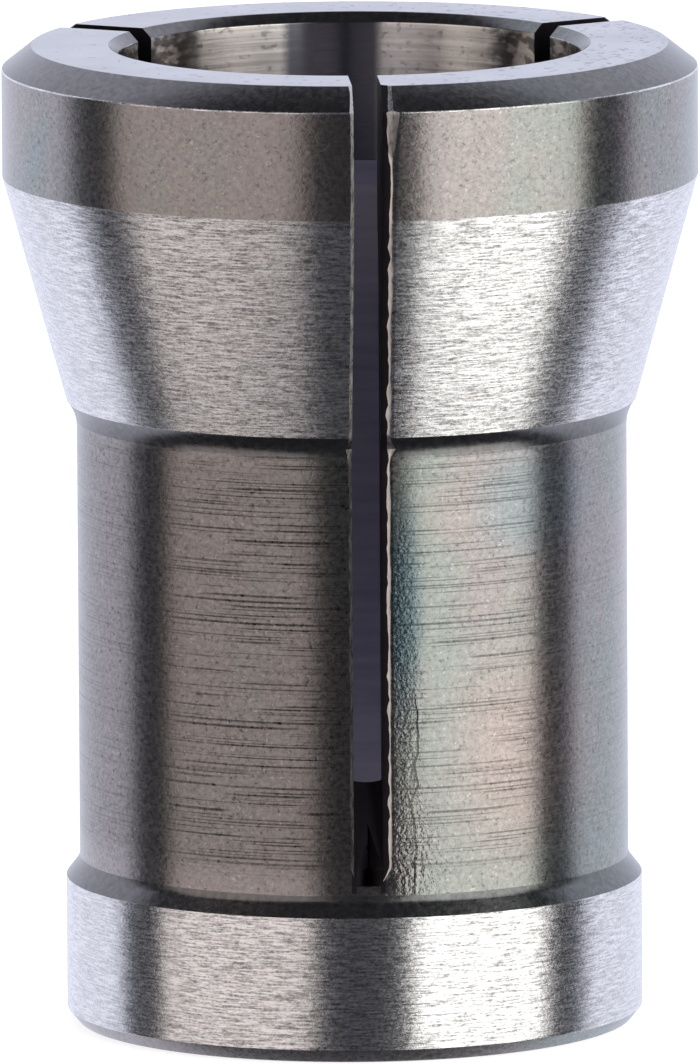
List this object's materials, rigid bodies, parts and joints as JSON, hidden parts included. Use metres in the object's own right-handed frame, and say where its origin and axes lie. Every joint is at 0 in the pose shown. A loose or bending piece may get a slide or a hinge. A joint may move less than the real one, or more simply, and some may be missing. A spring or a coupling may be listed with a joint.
{
  "type": "die grinder collet",
  "caption": "Slit steel collet with a clamping cone at the head, a nut chamfer round the mouth, a slim sprung body and a ground guide ring at the foot, for a round tool shank.",
  "frame": {"origin": "centre of the foot's end face, on the axis", "axes": "+Z along the axis from the foot to the mouth; the first slit, with the filed edge, faces -Y"},
  "size_m": [0.012, 0.012, 0.017],
  "materials": {
    "hardened_steel": "tempered bronze-grey body and head, with a ground bright cone and foot ring"
  },
  "bodies": {
    "root": {"collet": "hardened_steel"}
  },
  "joints": []
}
